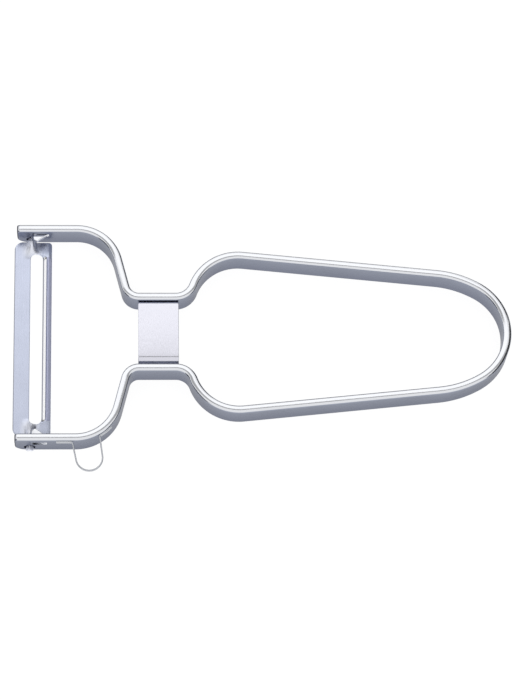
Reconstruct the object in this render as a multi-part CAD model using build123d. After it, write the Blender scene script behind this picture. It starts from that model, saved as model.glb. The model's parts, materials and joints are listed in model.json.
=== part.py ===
from build123d import *
import math
import os

os.makedirs("parts", exist_ok=True)

# A swivel peeler bent from flat steel strip. It lies on its far edge, with the handle towards +X, the blade
# across Y and +Z up. Everything is drawn with X = 0 at the tips of the two arms and Y = 0 midway between
# them, and is moved at the end so that the origin is under the middle of the whole object. Lengths are
# millimetres.

# Flat strip that the frame is bent from
strip_thickness = 2.1
strip_width = 8.0
strip_edge_round = 0.5

# Path of the strip. Gaps are measured between its inner faces, and radii to the middle of its thickness.
head_gap = 55.0
arm_length = 15.5
shoulder_radius = 11.2
shoulder_turn = 75.5
waist_entry_radius = 3.6
waist_gap = 17.3
waist_length = 9.5
neck_radius = 4.9
crest_radius = 12.5
crest_gap = 40.2
side_taper = 5.7
side_length = 50.7
tail_radius = 26.8
tail_turn = 24.8

# Tips of the arms: the corner near the table is well rounded, the other one only broken
tip_far_round = 3.3
tip_near_round = 0.9

# Pivot of the blade: its holes in the two arms, and the folded tongues that turn in them
pivot_inset = 3.8
pivot_height = 2.65
pivot_hole_radius = 1.5
pivot_clearance = 0.08
pivot_stand_out = 1.0
pivot_leg_turn = 120.0

# Stop tabs, lanced from the arms and pushed inwards at the tip
tab_start_gap = 0.6
tab_length = 3.9
tab_web = 0.45
tab_height = 1.7
tab_set = 2.2
tab_slit = 0.25
tab_edge_round = 0.25

# Blade, stamped from one sheet. The reach is from the pivot to the outer edge on the flat side.
blade_sheet = 0.9
blade_drop = 0.5
blade_end_gap = 0.8
blade_reach = 4.5
blade_flat_corner = 2.2
blade_bar_corner = 0.8
blade_edge_round = 0.15

# Slot of the blade, which starts a little before the pivot line, and the bar beyond it with its ground
# face, its shoulder and its turned-down flank
slot_lead = 0.3
slot_end_margin = 3.3
slot_width = 3.0
slot_corner_round = 1.4
slot_edge_break = 0.25
bar_width = 2.55
edge_land = 0.15
ground_width = 1.15
shoulder_width = 0.3
shoulder_depth = 0.2
ground_end_margin = 0.5
ground_corner_round = 1.1
flank_width = 1.1
flank_turn = 32.0

# Rib that runs from each pivot tongue into the blade and fades out at the slot
rib_margin = 0.3
rib_end_height = 0.15

# Plate across the waist, a channel with its two flanges against the legs. The radius is inside the bend.
plate_sheet = 1.0
plate_bend_radius = 1.1
plate_recess = 0.5
plate_length = 10.5
plate_offset = 0.3
plate_flange_height = 6.4

# Eye remover, a narrow ribbon bent to a loop, with both feet on the outer face of one arm. The first foot
# and the loop take their places along the arm from where the arm starts to bend, and the inset is from the
# strip's upper edge to the middle of the ribbon.
ribbon_thickness = 0.4
ribbon_width = 0.8
ribbon_edge_round = 0.12
ribbon_inset = 0.7
ribbon_foot_length = 4.1
ribbon_foot_lead = 0.7
ribbon_bend_radius = 0.6
ribbon_loop_radius = 3.4
ribbon_loop_centre_out = 4.2
ribbon_loop_centre_past = 3.65
ribbon_landing_turn = 33.0
ribbon_foot_turn = 15.0

# Overrun of every cut past the face it leaves by
overrun = 1.0

# Most of the strip's thickness that one rounded edge may take, the stretch of a stop tab next to its root
# where its edges stay sharp, and the points that an arc is drawn through
edge_round_limit_share = 0.35
tab_sharp_share = 0.25
arc_shares = (0, 0.5, 1)

half_turn = 180.0

# Distances from the middle line of the frame
arm_inner = head_gap / 2
arm_outer = arm_inner + strip_thickness
leg_inner = waist_gap / 2
arm_middle = arm_inner + strip_thickness / 2
leg_middle = leg_inner + strip_thickness / 2
crest_middle = crest_gap / 2 + strip_thickness / 2
blade_end = arm_inner - blade_end_gap
slot_end = blade_end - slot_end_margin

# Section of the blade, measured from its pivot line
blade_top = blade_sheet / 2 - blade_drop
blade_bottom = blade_top - blade_sheet
bar_start = slot_width - slot_lead
bar_end = bar_start + bar_width
ground_reach = bar_start + ground_width + shoulder_width
block_height = 2 * (blade_reach + bar_end)


def heading_vector(heading):
    """Direction in the plane of the frame, from a heading in degrees left of +X."""
    return Vector(1, 0, 0).rotate(Axis.Z, heading)


def walk(start, heading, bends, offset):
    """Edges of a bent line moved to its left by an offset, with the plain line's end and last heading.

    Each bend is a straight run, a radius and a turn in degrees, which is positive to the left.
    """
    point = start
    edges = []
    for run, radius, turn in bends:
        left = heading_vector(heading + half_turn / 2)
        if run > 0:
            corner = point + heading_vector(heading) * run
            edges.append(Line(point + left * offset, corner + left * offset))
            point = corner
        side = math.copysign(1, turn)
        centre = point + left * side * radius
        spoke = (point - centre).normalized()
        reach = radius - side * offset
        arc_points = [centre + spoke.rotate(Axis.Z, turn * share) * reach for share in arc_shares]
        edges.append(ThreePointArc(*arc_points))
        point = centre + spoke.rotate(Axis.Z, turn) * radius
        heading += turn
    return edges, point, heading


def frame_bends():
    """Bends of half the frame, from the tip of an arm to the middle of the handle's end."""
    shoulder_fall = (shoulder_radius + waist_entry_radius) * (1 - math.cos(math.radians(shoulder_turn)))
    shoulder_run = (arm_middle - leg_middle - shoulder_fall) / math.sin(math.radians(shoulder_turn))
    neck_rise = (crest_middle - leg_middle) / (neck_radius + crest_radius)
    neck_turn = math.degrees(math.acos(1 - neck_rise))
    bends = [
        (arm_length, shoulder_radius, -shoulder_turn),
        (shoulder_run, waist_entry_radius, shoulder_turn),
        (waist_length, neck_radius, neck_turn),
        (0, crest_radius, -neck_turn - side_taper),
        (side_length, tail_radius, -tail_turn),
    ]
    _, tail, heading = walk(Vector(0, arm_middle, 0), 0, bends, 0)
    closing_radius = tail.Y / math.cos(math.radians(heading))
    bends.append((0, closing_radius, -half_turn / 2 - heading))
    return bends


def waist_start():
    """Distance from the arm tips to the start of the straight legs at the waist."""
    _, entry, _ = walk(Vector(0, arm_middle, 0), 0, frame_bends()[:2], 0)
    return entry.X


def bent_strip():
    """Flat strip on edge, bent along the frame's path, with all its edges rounded."""
    start = Vector(0, arm_middle, 0)
    half_outline = []
    for offset in (strip_thickness / 2, -strip_thickness / 2):
        edges, _, _ = walk(start, 0, frame_bends(), offset)
        half_outline += edges
    half_outline.append(Line((0, arm_inner), (0, arm_outer)))
    outline = half_outline + [mirror(edge, about=Plane.XZ) for edge in half_outline]
    strip = extrude(make_face(outline), strip_width)
    tips = strip.edges().filter_by(Axis.Y).group_by(Axis.Z)
    strip = fillet(tips[0], tip_far_round)
    tips = strip.edges().filter_by(Axis.Y).group_by(Axis.Z)
    strip = fillet(tips[-1], tip_near_round)
    levels = strip.edges().filter_by(Axis.Y, reverse=True).group_by(Axis.Z)
    return fillet(levels[0] + levels[-1], min(strip_edge_round, strip_thickness * edge_round_limit_share))


def tab_values():
    """Where the stop tabs start and end along the arm, and their lowest and highest edge."""
    tip = pivot_inset + tab_start_gap
    low = pivot_height + pivot_hole_radius + tab_web
    return tip, tip + tab_length, low, low + tab_height


def stop_tab():
    """Tongue of the upper arm's stop tab, turned inwards about its root, with its free edges rounded."""
    tip, root, low, high = tab_values()
    turn = math.degrees(math.asin(tab_set / tab_length))
    along = heading_vector(half_turn + turn)
    out = heading_vector(half_turn / 2 + turn)
    hinge = Vector(root, arm_inner, 0)
    corners = [
        hinge,
        hinge + along * tab_length,
        hinge + along * tab_length + out * strip_thickness,
        hinge + out * strip_thickness,
        Vector(root, arm_outer, 0),
    ]
    tongue = extrude(make_face(Polyline(*corners, close=True)), tab_height - 2 * tab_slit)
    tongue = Pos(0, 0, low + tab_slit) * tongue
    sharp_from = root - tab_length * tab_sharp_share
    free_edges = tongue.edges().filter_by(lambda edge: edge.center().X < sharp_from)
    return fillet(free_edges, tab_edge_round)


def handle_frame():
    """Bent strip with the pivot holes and the stop tabs in its two arms."""
    frame = bent_strip()
    across = 2 * (arm_outer + overrun)
    holes = Rot(half_turn / 2, 0, 0) * Cylinder(pivot_hole_radius, across)
    frame -= Pos(pivot_inset, 0, pivot_height) * holes
    tip, root, low, high = tab_values()
    frame -= Pos((tip + root) / 2, 0, (low + high) / 2) * Box(tab_length, across, tab_height)
    tab = stop_tab()
    return frame + tab + mirror(tab, about=Plane.XZ)


def prism(points, low, high):
    """Solid between two places along Y, from a section given as points in X and Z."""
    section = make_face(Polyline(*[(x, low, z) for x, z in points], close=True))
    return extrude(section, high - low, dir=(0, 1, 0))


def plan_block(x_low, x_high, half_length, height, low_round, high_round):
    """Block seen from above as a rectangle, with its corners rounded by one radius on each side in X."""
    block = Pos((x_low + x_high) / 2, 0, 0) * Box(x_high - x_low, 2 * half_length, height)
    sides = block.edges().filter_by(Axis.Z).group_by(Axis.X)
    block = fillet(sides[0], low_round)
    sides = block.edges().filter_by(Axis.Z).group_by(Axis.X)
    return fillet(sides[-1], high_round)


def tongue_section():
    """Outline of a pivot tongue, an inverted V folded from the sheet, that just fits in the pivot hole."""
    radius = pivot_hole_radius - pivot_clearance
    foot = Vector(0, radius, 0).rotate(Axis.Z, -pivot_leg_turn)
    slope = math.atan2(foot.X, radius - foot.Y)
    inner_top = radius - blade_sheet / math.sin(slope)
    inner_foot = foot.X - blade_sheet / math.cos(slope)
    outer = [(-foot.X, foot.Y), (0, radius), (foot.X, foot.Y)]
    inner = [(inner_foot, foot.Y), (0, inner_top), (-inner_foot, foot.Y)]
    return outer, inner


def blade_body():
    """Sheet with its turned-down flank, its rounded corners and edges, and its slot."""
    crease = bar_end - flank_width
    fall = flank_width * math.tan(math.radians(flank_turn))
    under = blade_sheet * math.tan(math.radians(flank_turn / 2))
    lip = Vector(0, -blade_sheet, 0).rotate(Axis.Z, -flank_turn)
    section = [
        (-blade_reach, blade_bottom),
        (-blade_reach, blade_top),
        (crease, blade_top),
        (bar_end, blade_top - fall),
        (bar_end + lip.X, blade_top - fall + lip.Y),
        (crease - under, blade_bottom),
    ]
    body = prism(section, -blade_end, blade_end)
    body &= plan_block(-blade_reach, bar_end, blade_end, block_height, blade_flat_corner, blade_bar_corner)
    body = fillet(body.edges().filter_by(Axis.Z, reverse=True), blade_edge_round)
    slot = plan_block(-slot_lead, bar_start, slot_end, block_height, slot_corner_round, slot_corner_round)
    return body - slot


def ground_cut():
    """What is ground off the bar: a slope down to a narrow land at the slot, with a shoulder behind it."""
    slope = [
        (bar_start - overrun, blade_bottom + edge_land),
        (bar_start, blade_bottom + edge_land),
        (bar_start + ground_width, blade_top - shoulder_depth),
        (ground_reach, blade_top + overrun * shoulder_depth / shoulder_width),
        (bar_start - overrun, blade_top + overrun),
    ]
    half_length = slot_end - ground_end_margin
    start = bar_start - 2 * overrun
    bounds = plan_block(start, ground_reach, half_length, block_height, overrun, ground_corner_round)
    return prism(slope, -half_length, half_length) & bounds


def slot_break_cut():
    """Bevel along the slot's edge on the blade's flat side."""
    start = -slot_lead - slot_edge_break
    bevel = [
        (start, blade_top + overrun),
        (start, blade_top),
        (start + overrun, blade_top - overrun),
        (start + overrun, blade_top + overrun),
    ]
    half_length = slot_end - slot_corner_round
    return prism(bevel, -half_length, half_length)


def pivot_tongue():
    """Tongue that turns in the upper arm's hole, and the rib that leads from it to the slot."""
    outer, inner = tongue_section()
    low_left, apex, low_right = outer
    tongue = prism([*outer, *inner], blade_end - rib_margin, arm_outer + pivot_stand_out)
    rib_end = slot_end + rib_margin
    faded_apex = (0, blade_top + rib_end_height)
    full = [(x, blade_end, z) for x, z in (low_left, apex, low_right)]
    faded = [(x, rib_end, z) for x, z in (low_left, faded_apex, low_right)]
    rib = loft([make_face(Polyline(*points, close=True)) for points in (full, faded)])
    return tongue + rib


def swivel_blade():
    """Blade moved to its pivot line: flat side, slot, bar with its ground face, ribs and pivot tongues."""
    blade = blade_body() - ground_cut() - slot_break_cut()
    tongue = pivot_tongue()
    blade += tongue
    blade += mirror(tongue, about=Plane.XZ)
    return Pos(pivot_inset, 0, pivot_height) * blade


def waist_plate():
    """Channel between the legs: a flat top with a rounded bend on each side and a flange down each leg."""
    top = strip_width - plate_recess
    corner = (Align.MIN, Align.CENTER, Align.MAX)
    channel = Box(plate_length, 2 * leg_inner, plate_flange_height, align=corner)
    bends = channel.edges().filter_by(Axis.X).group_by(Axis.Z)[-1]
    channel = fillet(bends, plate_bend_radius + plate_sheet)
    hollow_width = 2 * (leg_inner - plate_sheet)
    hollow = Box(plate_length + 2 * overrun, hollow_width, plate_flange_height, align=corner)
    hollow = Pos(-overrun, 0, -plate_sheet) * hollow
    inner_bends = hollow.edges().filter_by(Axis.X).group_by(Axis.Z)[-1]
    channel -= fillet(inner_bends, plate_bend_radius)
    start = waist_start() + (waist_length - plate_length) / 2 + plate_offset
    return Pos(start, 0, top) * channel


def tangent_point(point, centre, radius, side):
    """Where a line from a point touches a circle, left or right of the point as seen from its centre."""
    spoke = point - centre
    turn = math.degrees(math.acos(radius / spoke.length))
    return centre + spoke.normalized().rotate(Axis.Z, side * turn) * radius


def eye_remover():
    """Ribbon loop outside one arm, with one foot along the arm and the other round the shoulder."""
    face = -arm_outer - ribbon_thickness / 2
    shoulder_centre = Vector(arm_length, -arm_middle + shoulder_radius, 0)
    foot_radius = shoulder_radius + strip_thickness / 2 + ribbon_thickness / 2
    down = Vector(0, -foot_radius, 0)
    landing = shoulder_centre + down.rotate(Axis.Z, ribbon_landing_turn)
    foot_middle = shoulder_centre + down.rotate(Axis.Z, ribbon_landing_turn + ribbon_foot_turn / 2)
    foot_end = shoulder_centre + down.rotate(Axis.Z, ribbon_landing_turn + ribbon_foot_turn)
    landing_corner = landing - heading_vector(ribbon_landing_turn) * ribbon_bend_radius
    loop_centre = Vector(arm_length + ribbon_loop_centre_past, face - ribbon_loop_centre_out, 0)
    first_corner = Vector(arm_length - ribbon_foot_lead, face, 0)
    first_foot = first_corner - Vector(ribbon_foot_length, 0, 0)
    loop_in = tangent_point(first_corner, loop_centre, ribbon_loop_radius, 1)
    loop_out = tangent_point(landing_corner, loop_centre, ribbon_loop_radius, -1)
    loop_low = loop_centre - Vector(0, ribbon_loop_radius, 0)
    path = Wire(
        [
            *FilletPolyline(first_foot, first_corner, loop_in, radius=ribbon_bend_radius).edges(),
            ThreePointArc(loop_in, loop_low, loop_out),
            *FilletPolyline(loop_out, landing_corner, landing, radius=ribbon_bend_radius).edges(),
            ThreePointArc(landing, foot_middle, foot_end),
        ]
    )
    section = Plane(first_foot, x_dir=(0, 1, 0), z_dir=(1, 0, 0)) * RectangleRounded(
        ribbon_thickness, ribbon_width, ribbon_edge_round
    )
    return Pos(0, 0, strip_width - ribbon_inset) * sweep(section, path=path)


pieces = {
    "handle_frame": handle_frame(),
    "waist_plate": waist_plate(),
    "swivel_blade": swivel_blade(),
    "eye_remover": eye_remover(),
}
bounds = Compound(list(pieces.values())).bounding_box()
shift = Pos(-bounds.center().X, -bounds.center().Y, -bounds.min.Z)
for name, piece in pieces.items():
    export_step(shift * piece, f"parts/{name}.step")
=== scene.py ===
import json
import math
from collections import namedtuple

import bmesh
import bpy
import numpy as np
from bpy.props import FloatProperty, FloatVectorProperty, PointerProperty
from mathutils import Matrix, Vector


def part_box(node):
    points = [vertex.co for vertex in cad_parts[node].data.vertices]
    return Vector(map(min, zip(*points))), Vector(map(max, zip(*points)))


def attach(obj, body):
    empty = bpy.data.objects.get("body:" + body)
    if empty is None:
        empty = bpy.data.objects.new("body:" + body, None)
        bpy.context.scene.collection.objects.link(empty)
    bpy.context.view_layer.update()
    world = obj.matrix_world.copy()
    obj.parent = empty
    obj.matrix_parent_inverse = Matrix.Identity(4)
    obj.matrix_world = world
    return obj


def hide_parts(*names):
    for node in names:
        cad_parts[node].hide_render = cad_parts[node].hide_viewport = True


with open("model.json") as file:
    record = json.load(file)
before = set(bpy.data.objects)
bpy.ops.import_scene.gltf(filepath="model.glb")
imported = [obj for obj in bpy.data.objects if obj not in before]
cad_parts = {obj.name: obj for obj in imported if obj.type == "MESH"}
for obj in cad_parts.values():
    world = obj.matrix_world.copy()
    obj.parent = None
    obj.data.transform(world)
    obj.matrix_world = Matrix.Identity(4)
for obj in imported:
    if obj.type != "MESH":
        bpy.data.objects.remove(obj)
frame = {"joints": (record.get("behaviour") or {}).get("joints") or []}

bl_info = {
    "name": "All-metal swivel peeler",
    "version": (1, 0, 0),
    "blender": (4, 5, 0),
    "location": "3D View > Sidebar > Peeler",
    "description": "Builds a peeler bent from flat steel strip, with its blade, waist plate and eye remover",
    "category": "Add Mesh",
}

# The whole peeler lies on the strip's lower edge, with its handle towards +X, its blade across Y and +Z up.
# Lengths are metres, and MM turns the millimetres of the maker's drawing into them. The frame gives where the arms
# start, how wide the strip is, and the line that the blade turns on. The drawing's own zero lies between the tips
# of the arms.
MM = 0.001
FRAME_LOW, FRAME_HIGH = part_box("handle_frame")
STRIP_WIDTH = FRAME_HIGH.z - FRAME_LOW.z
TIP_X = FRAME_LOW.x
PIVOT = Vector(frame["joints"][0]["pos_m"])
DRAWING_ZERO = np.array([TIP_X, PIVOT.y, 0.0])

# Longest straight step and widest turn between two rings of a bent piece, and the decimals of a metre that two
# places along it have to differ in
RUN_STEP = 1.5 * MM
ARC_STEP = math.radians(2.5)
PLACE_DECIMALS = 7

# Parts of a quarter circle: at the strip's long edges, at small edges, and at a window's corners
STRIP_EDGE_PARTS = 10
EDGE_PARTS = 5
WINDOW_PARTS = 3

# Points along an arm's tip over its far round, its near round and its broken edge, then points round a pivot hole
# and at the broken end of a sheared piece
TIP_POINTS = (13, 7, 4)
HOLE_POINTS = 64
END_POINTS = 5

# Points along a bend of the plate, across the bow between its bends, and along it between its ends
BEND_POINTS = 17
BOW_POINTS = 13
PLATE_POINTS = 10

# Points along half the blade, along each end and corner of it, and over and under its sheet, with the power that
# crowds the first towards the blade's ends
HALF_BLADE_POINTS = 45
STATION_POWER = 2.2
BLADE_END_POINTS = 64
BLADE_CORNER_POINTS = 9
BLADE_TOP_POINTS = 41
BLADE_UNDER_POINTS = 15

# Most of a wall's height that the slot's rounded edge takes
SLOT_EDGE_SHARE = 0.45

# Points across and along a pivot tongue, how far its skin lies inside its corners, and how far round from
# straight down its feet lie
TONGUE_POINTS = 33
TONGUE_RINGS = 8
TONGUE_INSET = 0.03 * MM
TONGUE_LEG_LEAN = math.radians(60)

# How much thinner than the strip a stop tab is, so that its faces don't lie in the arm's faces
TAB_RELIEF = 0.04 * MM

# Edges that turn by more than this stay sharp
SHARP_TURN = math.radians(38)

# Grain of a steel: the coordinates that its lines follow, how far they are stretched along each axis, the height
# of the marks, how far the roughness swings below and above its value, and the clouds' scale and darkening
Grain = namedtuple("Grain", "source stretch height swing clouds darkening")
STRIP_GRAIN = Grain("UV", (90, 6000, 1), 0.0015 * MM, (0.05, 0.05), 160, 0.06)
BLADE_GRAIN = Grain("Object", (7000, 120, 400), 0.001 * MM, (0.04, 0.05), 220, 0.05)
PLATE_GRAIN = Grain("Object", (9000, 1200, 1200), 0.0004 * MM, (0.05, 0.06), 220, 0.03)
RIBBON_GRAIN = Grain("UV", (150, 9000, 1), 0.0008 * MM, (0.05, 0.06), 220, 0.05)
RIM_SWING = (0.03, 0.04)

# Detail of the lines' noise and of the clouds', and the noise values that count as lowest and highest
LINE_DETAIL = 3
CLOUD_DETAIL = 2
NOISE_LOW, NOISE_HIGH = 0.3, 0.7

# Dark cards across the sky: the tilts from overhead towards +Y, in degrees, that each lies between, and half its
# length. Upright cards: how many card distances along X, both ends along Y, and the height. The last one is small
# and stands 125 mm from the middle.
LEANING_CARDS = {"studio_card_gap": (3, 15, 1.2), "studio_card_back": (62, 88, 1.6)}
UPRIGHT_CARDS = {
    "studio_card_far_right": (1, -0.9, 1.0, 1.3),
    "studio_card_far_left": (-1, -0.9, 0.9, 0.3),
    "studio_card_low_left": (-1, -1.1, -0.2, 2.1),
    "studio_card_corner": (1, 1.0, 2.8, 2.2),
    "studio_card_near_right": (0.125 / 1.3, -0.05, 0.05, 0.12),
}
WHITE = (1, 1, 1, 1)

# Width of the camera's sensor in millimetres, and the nearest and farthest that it sees, in metres
SENSOR_WIDTH = 36
CLIP_RANGE = (0.01, 20)


def number(name, description, value):
    """A plain number that isn't below nought."""
    return FloatProperty(name=name, description=description, default=value, min=0)


def length(name, description, millimetres):
    """A length, given in millimetres and kept in metres."""
    value = millimetres * MM
    return FloatProperty(name=name, description=description, default=value, unit="LENGTH", precision=5)


def turn(name, description, degrees):
    """An angle, given in degrees and kept in radians."""
    return FloatProperty(name=name, description=description, default=math.radians(degrees), subtype="ANGLE")


def share(name, description, value):
    """A share from nought to one."""
    return FloatProperty(name=name, description=description, default=value, min=0, max=1, subtype="FACTOR")


def tint(name, description, red, green, blue):
    """A colour as linear red, green and blue."""
    return FloatVectorProperty(
        name=name, description=description, default=(red, green, blue), size=3, min=0, max=1, subtype="COLOR"
    )


class StripSizes(bpy.types.PropertyGroup):
    """Flat strip on edge, its path from an arm tip to the handle's end, and what is cut in its arms."""

    thickness: length("Thickness", "Thickness of the flat strip", 2.1)
    edge_round: length("Edge round", "Radius of the strip's long edges", 0.45)
    edge_crown: length("Edge crown", "Radius of the slight crown between two long edges", 2.4)
    head_gap: length("Head gap", "Gap between the two arms", 55)
    arm_length: length("Arm length", "Straight part of each arm", 15.5)
    shoulder_radius: length("Shoulder radius", "Bend from the arm to the waist", 11.2)
    shoulder_turn: turn("Shoulder turn", "How far the shoulder turns in", 75.5)
    waist_entry_radius: length("Waist entry radius", "Bend into the straight leg", 3.6)
    waist_gap: length("Waist gap", "Gap between the two legs", 17.3)
    waist_length: length("Waist length", "Straight part of each leg", 9.5)
    neck_radius: length("Neck radius", "Bend out of the waist", 4.9)
    crest_radius: length("Crest radius", "Bend at the widest place of the handle", 12.5)
    crest_gap: length("Crest gap", "Widest gap of the handle", 40.2)
    side_taper: turn("Side taper", "How far the handle's sides close in", 5.7)
    side_length: length("Side length", "Straight part of each side", 50.7)
    tail_radius: length("Tail radius", "Bend into the handle's end", 26.8)
    tail_turn: turn("Tail turn", "How far that bend turns", 24.8)
    tip_far_round: length("Tip's far round", "Corner of an arm's tip near the table", 3.3)
    tip_near_round: length("Tip's near round", "Corner of an arm's tip away from the table", 0.9)
    tip_break: length("Tip break", "Broken edge round an arm's end face", 0.2)
    hole_radius: length("Hole radius", "Radius of the pivot holes", 1.5)
    tab_start_gap: length("Tab start", "From the pivot line to the tip of a stop tab", 0.6)
    tab_length: length("Tab length", "Length of a stop tab", 3.9)
    tab_web: length("Tab web", "Web between the pivot hole and the tab's window", 0.45)
    tab_height: length("Tab height", "Height of the tab's window", 1.7)
    tab_slit: length("Tab slit", "Slit above and below the tab", 0.25)
    window_corner: length("Window corner", "Corner radius of the tab's window", 0.12)
    tab_root_turn: turn("Tab root turn", "How far the tab leaves the arm at its root", 20)
    tab_curl: turn("Tab curl", "How far the tab bends on towards its tip", 30)


class PlateSizes(bpy.types.PropertyGroup):
    """Channel across the waist."""

    sheet: length("Sheet", "Thickness of the plate", 1.0)
    bend_radius: length("Near bend radius", "Inside radius of the bend on the near side", 1.1)
    far_bend_radius: length("Far bend radius", "Inside radius of the bend on the far side", 0.15)
    recess: length("Recess", "How far its top lies below the strip's edge", 0.5)
    length: length("Length", "Length along the handle", 10.5)
    offset: length("Offset", "How far it sits past the middle of the waist", 0.3)
    flange_height: length("Flange height", "Height of its flanges", 6.4)
    edge_round: length("Edge round", "Radius of its sheared edges", 0.14)
    bow: length("Bow", "How far the middle of its top stands above its bends", 0.06)


class BladeSizes(bpy.types.PropertyGroup):
    """Stamped blade, measured from the line that it turns on."""

    sheet: length("Sheet", "Thickness of the blade's sheet", 0.9)
    drop: length("Drop", "How far the sheet's middle lies below the pivot line", 0.5)
    half_length: length("Half length", "From the middle to the blade's end", 26.7)
    reach: length("Reach", "From the pivot line to the outer edge of the flat side", 4.5)
    flat_corner: length("Flat corner", "Corner radius on the flat side", 2.2)
    bar_corner: length("Bar corner", "Corner radius on the bar", 0.8)
    edge_round: length("Edge round", "Radius of its stamped edges", 0.15)
    slot_lead: length("Slot lead", "How far the slot starts before the pivot line", 0.3)
    slot_width: length("Slot width", "Width of the slot", 3.2)
    slot_half_length: length("Slot half length", "From the middle to the slot's end", 23.4)
    slot_corner: length("Slot corner", "Corner radius of the slot", 1.4)
    bar_width: length("Bar width", "From the slot to the outer edge of the bar", 2.35)
    edge_land: length("Edge land", "Thickness left at the cutting edge", 0.15)
    ground_width: length("Ground width", "Width of the slope ground down to the slot", 0.95)
    shoulder_width: length("Shoulder width", "Width of the step behind the ground slope", 0.28)
    shoulder_depth: length("Shoulder depth", "Depth of that step", 0.3)
    ground_margin: length("Ground margin", "From the slot's end to the end of the ground slope", 0.6)
    ground_corner: length("Ground corner", "Corner radius of the ground slope", 1.1)
    flank_width: length("Flank width", "Width of the turned-down flank", 0.85)
    flank_turn: turn("Flank turn", "How far the flank turns down", 20)
    flank_bend: length("Flank bend", "Softness of the flank's bend", 0.1)
    fold_run: length("Fold run", "Length over which the tongue's fold fades into the sheet", 4.9)
    fold_softness: length("Fold softness", "Softness of the fold's ridge", 0.2)
    fold_widening: share("Fold widening", "How much wider the fold gets as it fades", 0.9)
    end_sink: length("End sink", "How far the bar's end sinks beside the fold", 0.45)
    tongue_radius: length("Tongue radius", "From the pivot line to the tongue's corners", 1.42)
    tongue_taper: share("Tongue taper", "How much narrower the tongue is at its end", 0.25)
    tongue_reach: length("Tongue reach", "From the middle to the tongue's end", 30.6)


class RibbonSizes(bpy.types.PropertyGroup):
    """Eye remover, a narrow ribbon bent to a loop outside one arm."""

    thickness: length("Thickness", "Thickness of the ribbon", 0.4)
    width: length("Width", "Width of the ribbon", 0.8)
    edge_round: length("Edge round", "Radius of its long edges", 0.12)
    inset: length("Inset", "From the strip's edge to the middle of the ribbon", 0.7)
    foot_length: length("Foot length", "Length of its straight foot", 4.1)
    foot_lead: length("Foot lead", "How far the first bend lies before the shoulder", 0.7)
    bend_radius: length("Bend radius", "Bends next to the feet", 0.6)
    loop_radius: length("Loop radius", "Radius of the loop", 3.4)
    loop_out: length("Loop out", "From the arm to the loop's centre", 4.2)
    loop_past: length("Loop past", "From the start of the shoulder to the loop's centre", 3.65)
    landing_turn: turn("Landing turn", "Where on the shoulder the second foot lands", 33)
    foot_turn: turn("Foot turn", "How far the second foot goes round the shoulder", 15)


class Finishes(bpy.types.PropertyGroup):
    """Colours of the steel with its painted light and shade, and its roughness."""

    # Painted shade: the arms' sheared end faces are painted near black, from the tips inwards.
    cut_shade_colour: tint("Cut colour", "Sheared end faces of the arms", 0.1, 0.1, 0.12)
    rim_colour: tint("Rim colour", "Polished edges of the strip", 0.75, 0.762, 0.795)
    rim_roughness: share("Rim roughness", "Roughness of the polished edges", 0.11)
    rim_start: length("Rim start", "From the strip's edge to where its polish starts", 0.2525)
    rim_full: length("Rim full", "From the strip's edge to where its polish is full", 0.1725)
    cut_shade_start: length("Cut start", "From an arm's tip to where its sheared end starts", 0.32)
    cut_shade_full: length("Cut full", "From an arm's tip to where that is full", 0.22)
    # Painted shade: the wide faces are painted darker than the edges, for the reflection of the shaded floor
    # beside the strip.
    face_shade_colour: tint("Face colour", "Rolled wide faces of the strip", 0.342, 0.37, 0.45)
    # Painted contact shadow: the wide faces darken towards the table.
    low_face_shadow_colour: tint("Low face colour", "The wide faces near the table", 0.222, 0.24, 0.316)
    face_grazing: share("Face grazing", "How much the wide faces shine when seen from the side", 0.6)
    face_roughness: share("Face roughness", "Roughness of the wide faces", 0.3)
    plate_colour: tint("Plate colour", "Satin plate across the waist", 0.7, 0.7, 0.77)
    plate_roughness: share("Plate roughness", "Roughness of the plate", 0.16)
    blade_colour: tint("Blade colour", "Brushed blade", 0.584, 0.623, 0.756)
    # Painted shade on the outer side of the bar behind the ground slope.
    bar_shade_colour: tint("Bar colour", "Outer side of the bar behind the ground slope", 0.43, 0.45, 0.6)
    # Painted highlight on the slope ground down to the blade's edge.
    ground_highlight_colour: tint("Ground colour", "Slope ground down to the blade's edge", 0.95, 0.95, 0.97)
    # Painted dark reflection lines along the blade's stamped edges, and their widths.
    edge_shade_colour: tint("Stamped colour", "Stamped edges of the blade", 0.3, 0.31, 0.36)
    outer_line: length("Outer line", "Width of the stamped edge on the flat side", 0.22)
    slot_line: length("Slot line", "Width of the stamped edge on the bar, beside the slot", 0.304)
    blade_roughness: share("Blade roughness", "Roughness of the blade", 0.28)
    # Painted light: the folds next to the tongues are painted pale; the bounds below set where this and their matt
    # roughness reach.
    fold_light_colour: tint("Fold colour", "Folds next to the tongues", 0.88, 0.9, 0.98)
    fold_roughness: share("Fold roughness", "Roughness of the folds next to the tongues", 0.5)
    fold_start: length("Fold start", "From the pivot line to where the folds' finish starts", 2.84)
    fold_full: length("Fold full", "From the pivot line to where that is full", 0.852)
    fold_fade: length("Fold fade", "Along the blade from none to all of the folds' finish", 1.96)
    ribbon_colour: tint("Ribbon colour", "Eye remover", 0.52, 0.535, 0.57)
    ribbon_roughness: share("Ribbon roughness", "Roughness of the eye remover", 0.2)


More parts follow.
